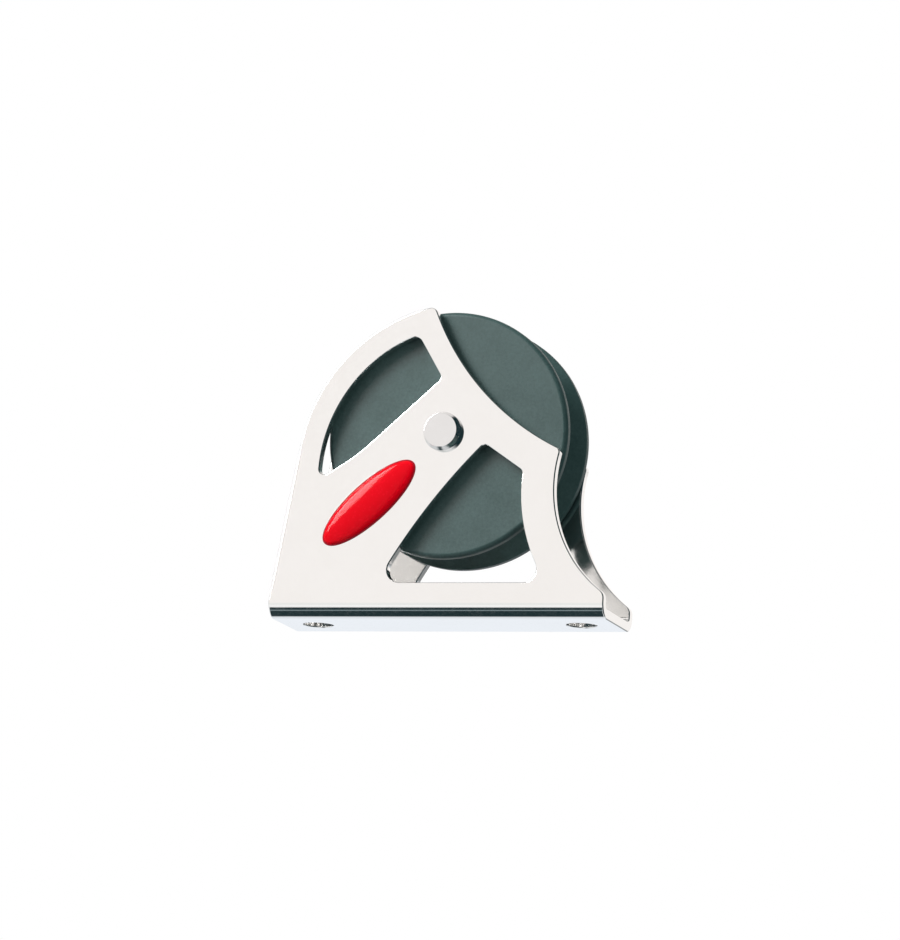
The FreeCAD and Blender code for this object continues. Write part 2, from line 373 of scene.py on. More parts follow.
class NodeTree:
    """The nodes of one material or world, wired by short calls."""

    def __init__(self, made: bpy.types.ID, output: str) -> None:
        """Clear the nodes of a material or world and give it an output of its kind."""
        self.made = made
        made.use_nodes = True
        made.node_tree.nodes.clear()
        self.output = self.add(output)

    @classmethod
    def of_material(cls, name: str) -> "NodeTree":
        """The nodes of a new material."""
        return cls(bpy.data.materials.new(name), "ShaderNodeOutputMaterial")

    def add(self, kind: str, settings: dict[str, object] | None = None, **sockets: object) -> bpy.types.Node:
        """Add a node.

        Args:
            kind: Blender's name of the node.
            settings: attributes of the node itself.
            sockets: value or output socket for each input, by its name with _ for a space.

        Returns:
            The node.
        """
        node = self.made.node_tree.nodes.new(kind)
        for key, value in (settings or {}).items():
            setattr(node, key, value)
        for key, value in sockets.items():
            self.feed(node.inputs[key.replace("_", " ")], value)
        return node

    def feed(self, socket: bpy.types.NodeSocket, value: object) -> None:
        """Link an output to an input, or set its value."""
        if isinstance(value, bpy.types.NodeSocket):
            self.made.node_tree.links.new(value, socket)
        else:
            socket.default_value = value

    def maths(self, operation: str, *values: object) -> bpy.types.NodeSocket:
        """Result of a math node over numbers or sockets."""
        node = self.add("ShaderNodeMath", {"operation": operation})
        for socket, value in zip(node.inputs, values):
            self.feed(socket, value)
        return node.outputs[0]

    def place(self, scale: Triple = (1, 1, 1), centre: Triple = (0, 0, 0)) -> bpy.types.NodeSocket:
        """Object coordinates in metres, moved to a centre and then scaled."""
        source = self.add("ShaderNodeTexCoord").outputs["Object"]
        moved = self.add("ShaderNodeVectorMath", {"operation": "SUBTRACT"})
        self.feed(moved.inputs[0], source)
        moved.inputs[1].default_value = [value * METRES_PER_MM for value in centre]
        return self.add("ShaderNodeMapping", Vector=moved.outputs[0], Scale=scale).outputs[0]

    def noise(self, where: bpy.types.NodeSocket, scale: float, detail: float = 3.0,
              roughness: float = 0.55) -> bpy.types.NodeSocket:
        """Value of a noise texture, 0 to 1 about one half."""
        return self.add("ShaderNodeTexNoise", Vector=where, Scale=scale, Detail=detail,
                        Roughness=roughness).outputs[0]

    def ramp(self, value: bpy.types.NodeSocket, low: float, high: float, at_low: float,
             at_high: float) -> bpy.types.NodeSocket:
        """The value carried evenly from one range to another and held at its ends."""
        return self.add("ShaderNodeMapRange", Value=value, From_Min=low, From_Max=high, To_Min=at_low,
                        To_Max=at_high).outputs[0]

    def spread(self, noise: bpy.types.NodeSocket, at_low: float, at_high: float) -> bpy.types.NodeSocket:
        """The range that a noise mostly fills, 0.3 to 0.7, carried to another one."""
        return self.ramp(noise, 0.3, 0.7, at_low, at_high)

    def between(self, share: bpy.types.NodeSocket, first: object, second: object,
                blend: str = "MIX") -> bpy.types.NodeSocket:
        """Colour between two colours, each a colour or a socket."""
        node = self.add("ShaderNodeMix", {"data_type": "RGBA", "blend_type": blend})
        self.feed(node.inputs[0], share)
        for socket, value in zip(node.inputs[6:8], (first, second)):
            self.feed(socket, (*value, 1) if isinstance(value, tuple) else value)
        return node.outputs[2]

    def mixed(self, share: bpy.types.NodeSocket, *shaders: bpy.types.NodeSocket) -> bpy.types.NodeSocket:
        """Shader between two shaders."""
        node = self.add("ShaderNodeMixShader")
        for socket, value in zip(node.inputs, (share, *shaders)):
            self.feed(socket, value)
        return node.outputs[0]

    def bump(self, height: bpy.types.NodeSocket, depth: float, strength: float) -> bpy.types.NodeSocket:
        """Normal of a height from 0 to 1 that stands for a depth in millimetres."""
        return self.add("ShaderNodeBump", Height=height, Distance=depth * METRES_PER_MM,
                        Strength=strength).outputs[0]

    def surface(self, **sockets: object) -> bpy.types.Material:
        """Finish with a Principled shader and return the material."""
        shader = self.add("ShaderNodeBsdfPrincipled", **sockets)
        self.feed(self.output.inputs["Surface"], shader.outputs[0])
        return self.made


MADE: dict[str, bpy.types.Material] = {}


@dataclass(frozen=True)
class Finish:
    """What the pieces of one kind of stuff look like."""

    name: str

    def material(self) -> bpy.types.Material:
        """The finish as a material, made once."""
        if self.name not in MADE:
            MADE[self.name] = self.make(NodeTree.of_material(self.name))
        return MADE[self.name]

    def make(self, nodes: NodeTree) -> bpy.types.Material:
        """Wire the finish; each kind of finish has its own."""
        raise NotImplementedError


@dataclass(frozen=True)
class PolishedSteel(Finish):
    """Electropolished sheet: a soft mirror with faint unevenness from the rolling and the press."""

    colour: Colour = (0.90, 0.898, 0.893)
    tarnish: Colour = (0.885, 0.88, 0.87)
    smoothest: float = 0.07
    roughest: float = 0.12

    def make(self, nodes: NodeTree) -> bpy.types.Material:
        """Roughness and colour drift with a wide noise; the bump is a slow swell and a fine grain."""
        where = nodes.place()
        wide = nodes.noise(where, 60.0)
        fine = nodes.noise(where, 900.0, 2.0)
        swell = nodes.noise(where, 110.0, 1.0)
        height = nodes.maths("MULTIPLY_ADD", fine, 0.12, swell)
        return nodes.surface(
            Base_Color=nodes.between(nodes.ramp(wide, 0.4, 0.8, 0.0, 1.0), self.colour, self.tarnish),
            Metallic=1.0,
            Roughness=nodes.spread(fine, self.smoothest, self.roughest),
            Normal=nodes.bump(height, 0.03, 0.3),
        )


@dataclass(frozen=True)
class TurnedSteel(Finish):
    """Lathe-turned and polished steel with fine rings about the axle."""

    height: float
    colour: Colour = (0.80, 0.80, 0.805)
    ring_spacing: float = 0.18
    smoothest: float = 0.08
    roughest: float = 0.15

    def make(self, nodes: NodeTree) -> bpy.types.Material:
        """Rings are a sine of the distance from the axle, broken up by noise."""
        where = nodes.place(centre=(0, 0, self.height))
        parts = nodes.add("ShaderNodeSeparateXYZ", Vector=where)
        across = nodes.maths("MULTIPLY", parts.outputs[0], parts.outputs[0])
        up = nodes.maths("MULTIPLY", parts.outputs[2], parts.outputs[2])
        distance = nodes.maths("SQRT", nodes.maths("ADD", across, up))
        turns = nodes.maths("MULTIPLY", distance, 2 * math.pi / (self.ring_spacing * METRES_PER_MM))
        rings = nodes.maths("MULTIPLY", nodes.maths("SINE", turns), nodes.noise(where, 500.0))
        grain = nodes.noise(where, 1500.0, 2.0)
        return nodes.surface(
            Base_Color=nodes.between(grain, self.colour, shaded(self.colour, 0.94)),
            Metallic=1.0,
            Roughness=nodes.spread(grain, self.smoothest, self.roughest),
            Normal=nodes.bump(rings, 0.006, 0.5),
        )


@dataclass(frozen=True)
class MouldedResin(Finish):
    """Filled resin as moulded: satin, finely mottled and slightly pitted."""

    colour: Colour = (0.024, 0.054, 0.051)
    pale: Colour = (0.041, 0.080, 0.076)
    gloss: float = 0.34
    smoothest: float = 0.40
    roughest: float = 0.52

    def make(self, nodes: NodeTree) -> bpy.types.Material:
        """Cloudy noise mixes two shades, a fine one speckles them, and both lift the surface."""
        where = nodes.place()
        cloud = nodes.noise(where, 140.0, 4.0)
        speckle = nodes.noise(where, 1600.0, 3.0, 0.7)
        shade = nodes.maths("MULTIPLY_ADD", speckle, 0.6, nodes.maths("MULTIPLY", cloud, 0.4))
        return nodes.surface(
            Base_Color=nodes.between(nodes.ramp(shade, 0.36, 0.66, 0.0, 1.0), self.colour, self.pale),
            Roughness=nodes.spread(cloud, self.smoothest, self.roughest),
            Specular_IOR_Level=self.gloss,
            Normal=nodes.bump(speckle, 0.05, 0.3),
        )


@dataclass(frozen=True)
class PlainResin(Finish):
    """Smooth pale resin of the cage and the washers, with a faint grain."""

    colour: Colour
    smoothest: float = 0.42
    roughest: float = 0.58

    def make(self, nodes: NodeTree) -> bpy.types.Material:
        """A fine noise darkens the colour a little and roughens it."""
        grain = nodes.noise(nodes.place(), 900.0)
        return nodes.surface(
            Base_Color=nodes.between(grain, self.colour, shaded(self.colour, 0.86)),
            Roughness=nodes.spread(grain, self.smoothest, self.roughest),
            Normal=nodes.bump(grain, 0.02, 0.3),
        )


@dataclass(frozen=True)
class GroundSteel(Finish):
    """Ground bearing steel with streaks along the axle."""

    colour: Colour = (0.70, 0.69, 0.67)
    smoothest: float = 0.2
    spread: float = 0.12

    def make(self, nodes: NodeTree) -> bpy.types.Material:
        """Noise that is drawn out along Y gives the grinding streaks."""
        streak = nodes.noise(nodes.place(scale=(1, 0.08, 1)), 2500.0)
        return nodes.surface(
            Base_Color=nodes.between(streak, self.colour, shaded(self.colour, 0.9)),
            Metallic=1.0,
            Roughness=nodes.spread(streak, self.smoothest, self.smoothest + self.spread),
            Normal=nodes.bump(streak, 0.004, 0.4),
        )


@dataclass(frozen=True)
class LabelFilm(Finish):
    """Printed film under the dome: its cut edge is a dark red line round the badge."""

    colour: Colour = (0.45, 0.004, 0.016)
    smoothest: float = 0.3
    roughest: float = 0.45

    def make(self, nodes: NodeTree) -> bpy.types.Material:
        """A fine noise varies the print."""
        grain = nodes.noise(nodes.place(), 1800.0)
        return nodes.surface(
            Base_Color=nodes.between(grain, self.colour, shaded(self.colour, 0.7)),
            Roughness=nodes.spread(grain, self.smoothest, self.roughest),
            Specular_IOR_Level=0.1,
        )


@dataclass(frozen=True)
class CastDome(Finish):
    """Glossy resin dome over a red print with a fine flake."""

    colour: Colour = (0.76, 0.0012, 0.009)
    flake: Colour = (0.84, 0.006, 0.02)
    gloss: float = 0.07

    def make(self, nodes: NodeTree) -> bpy.types.Material:
        """Small cells scatter lighter flakes; a slow swell keeps the gloss from being ruled straight."""
        where = nodes.place()
        cells = nodes.add("ShaderNodeTexVoronoi", Vector=where, Scale=2600.0).outputs["Color"]
        flakes = nodes.ramp(nodes.add("ShaderNodeSeparateColor", Color=cells).outputs[0], 0.86, 0.98, 0.0, 0.55)
        swell = nodes.noise(where, 120.0, 1.0)
        return nodes.surface(
            Base_Color=nodes.between(flakes, self.colour, self.flake),
            Roughness=0.1,
            Specular_IOR_Level=self.gloss,
            Normal=nodes.bump(swell, 0.03, 0.25),
        )


@dataclass
class SideFrame:
    """The folded sheet: two cheeks with their windows, the round bends and the drilled base.

    The sheet is laid out flat as a blank in x and w, where w is the length along the sheet's outer
    face from the middle of the base, and then folded.
    """

    name: str = "folded_side_frame"
    sheet: float = 2.4
    width: float = 23.5
    base_length: float = 79.6
    bend_radius: float = 3.6
    axle_height: float = 42.5
    sheave_radius: float = 28.5
    heel_lean: float = 5.6
    heel_height: float = 40.0
    brow: tuple[float, float] = (1.3, 139.8)
    crest: tuple[float, float] = (0.95, 97.0)
    scoop: tuple[float, float] = (13.05, 43.1)
    shoulder: tuple[float, float] = (0.25, -8.4)
    toe_height: float = 5.45
    toe_bow: float = 5.5
    crest_corner: float = 1.6
    shoulder_corner: float = 1.2
    toe_corner: float = 2.2
    strut_direction: float = 222.4
    strut_upper: float = 10.05
    strut_lower: float = 8.6
    strut_flare: float = 7.6
    strut_bow: float = 1.4
    rim_strip: float = 5.55
    crest_strip: float = 5.65
    heel_strip: float = 6.05
    upper_post: float = 7.7
    upper_top_direction: float = 107.8
    flare_run: float = 8.2
    flare_drop: float = 5.7
    lower_top: float = 5.55
    shoulder_strip: float = 8.7
    shoulder_cover: float = 4.8
    toe_strip: float = 13.85
    front_bow: float = 2.35
    sill_height: float = 7.9
    window_corner: float = 1.3
    crest_window_corner: float = 2.0
    sill_corner: float = 3.0
    flare_corner: float = 40.0
    fastener_hole: float = 7.0
    fastener_spacing: float = 63.0
    pin_bore: float = 6.06
    edge_round: float = 0.3
    edge_steps: int = 4
    bend_steps: int = 14
    row_points: int = 60
    bore_steps: int = 32
    hole_steps: int = 64
    finish: Finish = PolishedSteel("electropolished_sheet")

    def __post_init__(self) -> None:
        """Half of the flat base, the length of a bend on the outer face, and where a cheek starts."""
        self.base_flat = self.width / 2 - self.bend_radius
        self.bend_length = self.bend_radius * math.pi / 2
        self.cheek_start = self.base_flat + self.bend_length

    def about_axle(self, radius: float, degrees: float) -> tuple[float, float]:
        """Point of the cheek at a distance and a direction from the axle."""
        angle = math.radians(degrees)
        return (radius * math.cos(angle), self.axle_height + radius * math.sin(angle))

    def on_strut(self, along: float, aside: float) -> tuple[float, float]:
        """Point of the cheek down the strut from the axle and up across it."""
        angle = math.radians(self.strut_direction)
        x = along * math.cos(angle) + aside * math.sin(angle)
        z = self.axle_height + along * math.sin(angle) - aside * math.cos(angle)
        return (x, z)

    def shoulder_point(self) -> tuple[float, float]:
        """Corner of the cheek under the open front of the sheave."""
        return self.about_axle(self.sheave_radius - self.shoulder[0], self.shoulder[1])

    def cheek_edge(self) -> tuple[Array, Array]:
        """The cheek's edge from the heel's bend over the crest and the shoulder to the toe's bend."""
        half = self.base_length / 2
        heel_top = (self.heel_lean - half, self.heel_height)
        brow = self.about_axle(self.sheave_radius + self.brow[0], self.brow[1])
        crest = self.about_axle(self.sheave_radius + self.crest[0], self.crest[1])
        shoulder, toe = self.shoulder_point(), (half, self.toe_height)
        strokes = [
            Stroke((-half, self.bend_radius), heel_top),
            Stroke.through(heel_top, brow, crest),
            Stroke.through(crest, self.about_axle(*self.scoop), shoulder),
            Stroke(shoulder, toe, -self.toe_bow),
            Stroke(toe, (half, self.bend_radius)),
        ]
        rounds = {1: self.crest_corner, 2: self.shoulder_corner, 3: self.toe_corner}
        return outline(strokes, rounds, closed=False)

    def upper_window(self) -> tuple[Array, Array]:
        """The window between the rim strip, the heel strip and the strut."""
        lean = self.heel_lean / (self.heel_height - self.bend_radius)
        cosine = math.cos(math.radians(self.strut_direction))
        sine = math.sin(math.radians(self.strut_direction))
        level = lean * (self.axle_height - self.strut_upper * cosine - self.bend_radius)
        half = self.base_length / 2
        reach = self.heel_strip + self.flare_run - half + level - self.strut_upper * sine
        flare = self.on_strut(reach / (cosine - lean * sine), self.strut_upper)
        low_height = flare[1] - self.flare_drop
        low = (lean * (low_height - self.bend_radius) - half + self.heel_strip, low_height)
        middle = self.about_axle(self.sheave_radius + self.brow[0] - self.rim_strip, self.brow[1])
        top_radius = self.sheave_radius + self.crest[0] - self.crest_strip
        top = self.about_axle(top_radius, self.upper_top_direction)
        post = self.on_strut(-self.upper_post, self.strut_upper)
        strokes = [Stroke.through(low, middle, top), Stroke(top, post), Stroke(post, flare), Stroke(flare, low)]
        small = self.window_corner
        rounds = {0: self.crest_window_corner, 1: small, 2: self.flare_corner, 3: small}
        return outline(strokes, rounds, closed=True)

    def lower_window(self) -> tuple[Array, Array]:
        """The window over the base, between the strut and the flared front strip."""
        shoulder = self.shoulder_point()
        top = self.on_strut(-self.lower_top, -self.strut_lower)
        right = (shoulder[0] - self.shoulder_strip, shoulder[1] - self.shoulder_cover)
        sill_right = (self.base_length / 2 - self.toe_strip, self.sill_height)
        angle = math.radians(self.strut_direction)
        edge_foot = self.on_strut(0, -self.strut_lower - self.strut_flare)
        reach = (edge_foot[1] - self.sill_height) / -math.sin(angle)
        sill_left = (edge_foot[0] + reach * math.cos(angle), self.sill_height)
        strokes = [
            Stroke(top, right),
            Stroke(right, sill_right, -self.front_bow),
            Stroke(sill_right, sill_left),
            Stroke(sill_left, top, self.strut_bow),
        ]
        small, large = self.window_corner, self.sill_corner
        return outline(strokes, {0: small, 1: large, 2: large, 3: small}, closed=True)

    def on_blank(self, points: Array, normals: Array, side: Side) -> tuple[Array, Array]:
        """Move a cheek's points in x and z, and their normals, to the blank's x and w."""
        flip = np.array([1, side.value])
        shift = np.array([0, self.cheek_start - self.bend_radius])
        return (points + shift) * flip, normals * flip

    def circle(self, x: float, w: float, radius: float, steps: int) -> tuple[Array, Array]:
        """A drilled hole of the blank, whose normals point out of the sheet, so to its centre."""
        angle = np.linspace(0, 2 * np.pi, steps, endpoint=False)
        spoke = spokes(angle)
        return np.array([x, w]) + radius * spoke, -spoke

    def bend_rows(self) -> Array:
        """The w of each fold line, from the near cheek to the far one."""
        bend = self.base_flat + self.bend_length * np.linspace(0, 1, self.bend_steps + 1)
        return np.concatenate([-bend[::-1], bend])

    def blank_loops(self) -> list[tuple[Array, Array]]:
        """The blank's outer edge, first, and all of its openings."""
        edge, edge_normals = self.cheek_edge()
        near, near_normals = self.on_blank(edge, edge_normals, Side.NEAR)
        far, far_normals = self.on_blank(edge[::-1], edge_normals[::-1], Side.FAR)
        rows = self.bend_rows()[1:-1]
        half = self.base_length / 2
        toe_side = np.stack([np.full(len(rows), half), rows], axis=-1)
        heel_side = np.stack([np.full(len(rows), -half), rows[::-1]], axis=-1)
        ahead = np.repeat([[1.0, 0.0]], len(rows), axis=0)
        for normals in (near_normals, far_normals):
            normals[0], normals[-1] = (np.sign(normals[0, 0]), 0), (np.sign(normals[-1, 0]), 0)
        loops = [(np.vstack([near, toe_side, far, heel_side]),
                  np.vstack([near_normals, ahead, far_normals, -ahead]))]
        for side in Side:
            for points, normals in (self.upper_window(), self.lower_window()):
                loops.append(self.on_blank(points, -normals, side))
            bore_place = side.value * (self.axle_height + self.cheek_start - self.bend_radius)
            loops.append(self.circle(0, bore_place, self.pin_bore / 2, self.bore_steps))
        for end in (-1, 1):
            place = end * self.fastener_spacing / 2
            loops.append(self.circle(place, 0, self.fastener_hole / 2, self.hole_steps))
        return loops

    def fold(self, flat: Array, depth: Array) -> Array:
        """Carry points of the sheet from the blank to the folded frame.

        On the base (x, w, d) stays at y = w and z = d. In a bend it turns by a = (|w| - base) / radius
        about the bend's centre at the distance radius - d, and past it the sheet goes straight up.

        Args:
            flat: x and w of each point.
            depth: how deep each point lies under the outer face.

        Returns:
            x, y and z of each point.
        """
        span = abs(flat[:, 1])
        angle = np.clip((span - self.base_flat) / self.bend_radius, 0, np.pi / 2)
        reach = self.bend_radius - depth
        y = np.minimum(span, self.base_flat) + reach * np.sin(angle)
        z = self.bend_radius - reach * np.cos(angle) + np.maximum(span - self.cheek_start, 0)
        return np.stack([flat[:, 0], np.sign(flat[:, 1]) * y, z], axis=-1)

    def fold_normals(self, flat: Array, across: Array, outward: Array) -> Array:
        """Turn normals with the sheet: across lies in the blank, outward is the share off its outer face."""
        sign = np.where(flat[:, 1] < 0, -1.0, 1.0)
        angle = np.clip((abs(flat[:, 1]) - self.base_flat) / self.bend_radius, 0, np.pi / 2)
        sine, cosine = np.sin(angle), np.cos(angle)
        y = across[:, 1] * cosine + outward * sign * sine
        z = across[:, 1] * sign * sine - outward * cosine
        return unit(np.stack([across[:, 0], y, z], axis=-1))

    def cap(self, loops: list[tuple[Array, Array]]) -> tuple[Array, Array]:
        """Points of a flat face of the blank and the triangles between its edge and its openings."""
        inset = [points - self.edge_round * normals for points, normals in loops]
        counts = [len(points) for points in inset]
        starts = np.cumsum([0] + counts)
        links = [np.stack([np.arange(n), np.roll(np.arange(n), -1)], axis=-1) + start
                 for n, start in zip(counts, starts)]
        rim = inset[0]
        rows = self.bend_rows()
        tail = counts[0] - (len(rows) - 2)
        toe_end = (tail - (len(rows) - 2)) // 2 - 1
        right = np.arange(toe_end, toe_end + len(rows))
        left = np.concatenate([[0], np.arange(counts[0] - 1, tail - 2, -1)])
        number, extra, lines = int(starts[-1]), [], []
        for begin, end, w in zip(left, right, rows):
            inner = np.linspace(rim[begin, 0], rim[end, 0], self.row_points + 2)[1:-1]
            extra.append(np.stack([inner, np.full(self.row_points, w)], axis=-1))
            chain = np.concatenate([[begin], number + np.arange(self.row_points), [end]])
            lines.append(np.stack([chain[:-1], chain[1:]], axis=-1))
            number += self.row_points
        points = np.vstack(inset + extra)
        edges = np.vstack(links + lines)
        found = delaunay_2d_cdt([Vector(point) for point in points], edges.tolist(), [], 0, SAME_POINT)
        origin = np.array([sources[0] for sources in found[3]])
        triangles = origin[np.array(found[2])]
        middle = points[triangles].mean(axis=1)
        first, second = (points[np.vstack(links)[:, end]] for end in range(2))
        height = middle[:, 1][:, None]
        spans = (first[:, 1] > height) != (second[:, 1] > height)
        rise = np.where(second[:, 1] == first[:, 1], 1.0, second[:, 1] - first[:, 1])
        crossing = first[:, 0] + (height - first[:, 1]) / rise * (second[:, 0] - first[:, 0])
        inside = (spans & (crossing > middle[:, 0][:, None])).sum(axis=1) % 2 == 1
        return points, triangles[inside]

    def skin(self) -> Skin:
        """Both faces of the sheet and the rounded cut edge round every loop, folded."""
        loops = self.blank_loops()
        flat, triangles = self.cap(loops)
        size = len(flat)
        bare = np.zeros_like(flat)
        ones = np.ones(size)
        points = [self.fold(flat, 0 * ones), self.fold(flat, self.sheet * ones)]
        normals = [self.fold_normals(flat, bare, ones), self.fold_normals(flat, bare, -ones)]
        faces = triangles.tolist() + (triangles + size).tolist()
        angle = np.linspace(0, np.pi / 2, self.edge_steps + 1)
        inset = self.edge_round * (1 - np.sin(angle))
        depth = self.edge_round * (1 - np.cos(angle))
        insets = np.concatenate([inset[1:], inset[::-1][:-1]])
        depths = np.concatenate([depth[1:], (self.sheet - depth)[::-1][:-1]])
        across = np.concatenate([np.sin(angle)[1:], np.sin(angle)[::-1][:-1]])
        outward = np.concatenate([np.cos(angle)[1:], -np.cos(angle)[::-1][:-1]])
        start, total = 0, 2 * size
        for edge, edge_normals in loops:
            count = len(edge)
            rows = [np.arange(start, start + count)]
            for inward, deep, side_share, face_share in zip(insets, depths, across, outward):
                place = edge - inward * edge_normals
                points.append(self.fold(place, np.full(count, deep)))
                normals.append(self.fold_normals(place, side_share * edge_normals, np.full(count, face_share)))
                rows.append(np.arange(total, total + count))
                total += count
            rows.append(np.arange(start, start + count) + size)
            faces += grid_faces(np.array(rows))
            start += count
        return Skin(np.vstack(points), np.vstack(normals), faces)

    def build(self) -> bpy.types.Object:
        """Make the frame in place of its CAD node."""
        slot = "polished_stainless"
        return self.skin().make_object(self.name, self.finish, Body.FRAME, slot, ["side_frame"])


@dataclass
class Sheave:
    """The moulded wheel: flat flanks, rounded rims and a rope groove with straight sides."""

    name: str = "moulded_sheave"
    axle_height: float = 42.5
    radius: float = 28.5
    half_width: float = 9.0
    bore_radius: float = 8.27
    rim_round: float = 1.1
    mouth_round: float = 0.4
    bore_round: float = 0.2
    groove_depth: float = 7.2
    groove_root: float = 5.0
    groove_flank: float = 23.5
    segments: int = 240
    round_steps: int = 9
    finish: Finish = MouldedResin("moulded_grey_resin")

    def build(self) -> bpy.types.Object:
        """Turn the section, whose groove is a corner on the middle plane rounded by the root's radius."""
        slope = math.radians(self.groove_flank)
        seat = self.radius - self.groove_depth + self.groove_root * (1 - math.sin(slope))
        mouth = self.groove_root * math.cos(slope) + (self.radius - seat) * math.tan(slope)
        apex = self.radius - mouth / math.tan(slope)
        corners = [
            (self.bore_radius, -self.half_width, self.bore_round),
            (self.radius, -self.half_width, self.rim_round),
            (self.radius, -mouth, self.mouth_round),
            (apex, 0.0, self.groove_root),
            (self.radius, mouth, self.mouth_round),
            (self.radius, self.half_width, self.rim_round),
            (self.bore_radius, self.half_width, self.bore_round),
        ]
        points, normals = rounded_outline(corners, self.round_steps, closed=True)
        skin = turned_skin(points, normals, self.axle_height, self.segments, closed=True)
        return skin.make_object(self.name, self.finish, Body.WHEEL, "sheave_resin", ["sheave"])


@dataclass
class AxlePin:
    """The pin: a bevelled head on the near cheek, a shank, and a bevelled rivet end on the far cheek."""

    name: str = "headed_axle_pin"
    axle_height: float = 42.5
    half_width: float = 11.75
    shank_radius: float = 3.0
    head_radius: float = 4.5
    head_height: float = 2.5
    head_edge: float = 1.2
    head_bevel: float = 0.65
    head_round: float = 0.12
    head_shoulder: float = 0.7
    rivet_radius: float = 4.2
    rivet_height: float = 1.4
    rivet_edge: float = 0.4
    rivet_bevel: float = 1.3
    crown_round: float = 0.35
    small_round: float = 0.12
    segments: int = 128
    round_steps: int = 6

    def build(self) -> bpy.types.Object:
        """Turn the section from the middle of the head's face to the middle of the rivet's."""
        face = -self.half_width - self.head_height
        crown = self.half_width + self.rivet_height
        fine, soft = self.small_round, self.crown_round
        corners = [
            (0.0, face, 0.0),
            (self.head_radius - self.head_bevel, face, self.head_round),
            (self.head_radius, -self.half_width - self.head_edge, self.head_shoulder),
            (self.head_radius, -self.half_width, fine),
            (self.shank_radius, -self.half_width, fine),
            (self.shank_radius, self.half_width, fine),
            (self.rivet_radius, self.half_width, fine),
            (self.rivet_radius, self.half_width + self.rivet_edge, fine),
            (self.rivet_radius - self.rivet_bevel, crown, soft),
            (0.0, crown, 0.0),
        ]
        points, normals = rounded_outline(corners, self.round_steps, closed=False)
        skin = turned_skin(points, normals, self.axle_height, self.segments, closed=False)
        finish = TurnedSteel("lathe_turned_steel", self.axle_height)
        return skin.make_object(self.name, finish, Body.FRAME, "turned_stainless", ["axle_pin"])


@dataclass
class Badge:
    """The oval badge on the strut: a film stuck to the cheek and a resin dome cast on it."""

    side_frame: SideFrame
    length: float = 27.6
    width: float = 9.3
    distance: float = 23.45
    offset: float = -0.6
    film: float = 0.25
    border: float = 0.4
    rise: float = 1.1
    film_round: float = 0.06
    film_under: float = 0.9
    film_foot: float = 0.02
    dome_under: tuple[float, float] = (0.9, 0.98)
    segments: int = 160
    rings: int = 28

    def lay(self, long: Array, wide: Array, lift: Array) -> Array:
        """Points by their place along and across the badge and their lift off the cheek."""
        x0, z0 = self.side_frame.on_strut(self.distance, self.offset)
        angle = math.radians(self.side_frame.strut_direction)
        x = x0 + long * math.cos(angle) + wide * math.sin(angle)
        z = z0 + long * math.sin(angle) - wide * math.cos(angle)
        return np.stack([x, -self.side_frame.width / 2 - lift, z], axis=-1)

    def oval(self, share: Array, lift: Array, trim: float) -> Array:
        """Rings of the oval: share s of its half axes less the trim, each at its own lift.

        Args:
            share: one share per ring.
            lift: the lift of each ring.
            trim: how much the half axes are shortened.

        Returns:
            Points by ring and by angle.
        """
        angle = np.linspace(0, 2 * np.pi, self.segments, endpoint=False)
        long = np.outer(share, (self.length / 2 - trim) * np.cos(angle))
        wide = np.outer(share, (self.width / 2 - trim) * np.sin(angle))
        return self.lay(long, wide, np.repeat(lift[:, None], self.segments, axis=1))

    def capped(self, rings: Array, lifts: tuple[float, float]) -> Skin:
        """Close rings of points with one point at each end, and read the normals off the grid.

        Args:
            rings: points by ring and by angle.
            lifts: lift of the first and of the last point on the badge's middle.

        Returns:
            The closed surface.
        """
        poles = self.lay(np.zeros(2), np.zeros(2), np.array(lifts))
        first, last = (np.broadcast_to(pole, (1, self.segments, 3)) for pole in poles)
        padded = np.concatenate([first, rings, last])
        along = padded[2:] - padded[:-2]
        around = np.roll(rings, -1, axis=1) - np.roll(rings, 1, axis=1)
        normals = unit(np.cross(along, around))
        outward = rings - rings.mean(axis=(0, 1))
        if np.einsum("ijk,ijk->", normals, outward) < 0:
            normals = -normals
        return capped_skin(rings, normals, poles, np.array([[0.0, 1.0, 0.0], [0.0, -1.0, 0.0]]))

    def build(self) -> list[bpy.types.Object]:
        """Make the film and the dome."""
        return [self.build_film(), self.build_dome()]

    def build_film(self) -> bpy.types.Object:
        """A flat oval disc, its upper edge rounded a little by the cut."""
        small = 2 * self.film_round / self.width
        share = np.array([self.film_under, 1 - small, 1, 1, 1 - small, 1 - 3 * small])
        lift = np.array([0, 0, self.film_foot, self.film - self.film_round, self.film, self.film])
        skin = self.capped(self.oval(share, lift, 0.0), (0.0, self.film))
        finish = LabelFilm("badge_label_film")
        return skin.make_object("badge_film", finish, Body.FRAME, "label_film", ["badge_label"])

    def build_dome(self) -> bpy.types.Object:
        """A dome of lift rise (1 - s^2)^p over share s, which meets the film at a clear angle."""
        angle = np.linspace(0, np.pi / 2, self.rings, endpoint=False)
        share = np.cos(angle)
        lift = self.film + self.rise * np.sin(angle)
        rings = self.oval(np.concatenate([self.dome_under, share]),
                          np.concatenate([np.full(2, self.film), lift]), self.border)
        skin = self.capped(rings, (self.film, self.film + self.rise))
        finish = CastDome("badge_cast_dome")
        return skin.make_object("badge_resin_dome", finish, Body.FRAME, "badge_resin", ["badge_dome"])


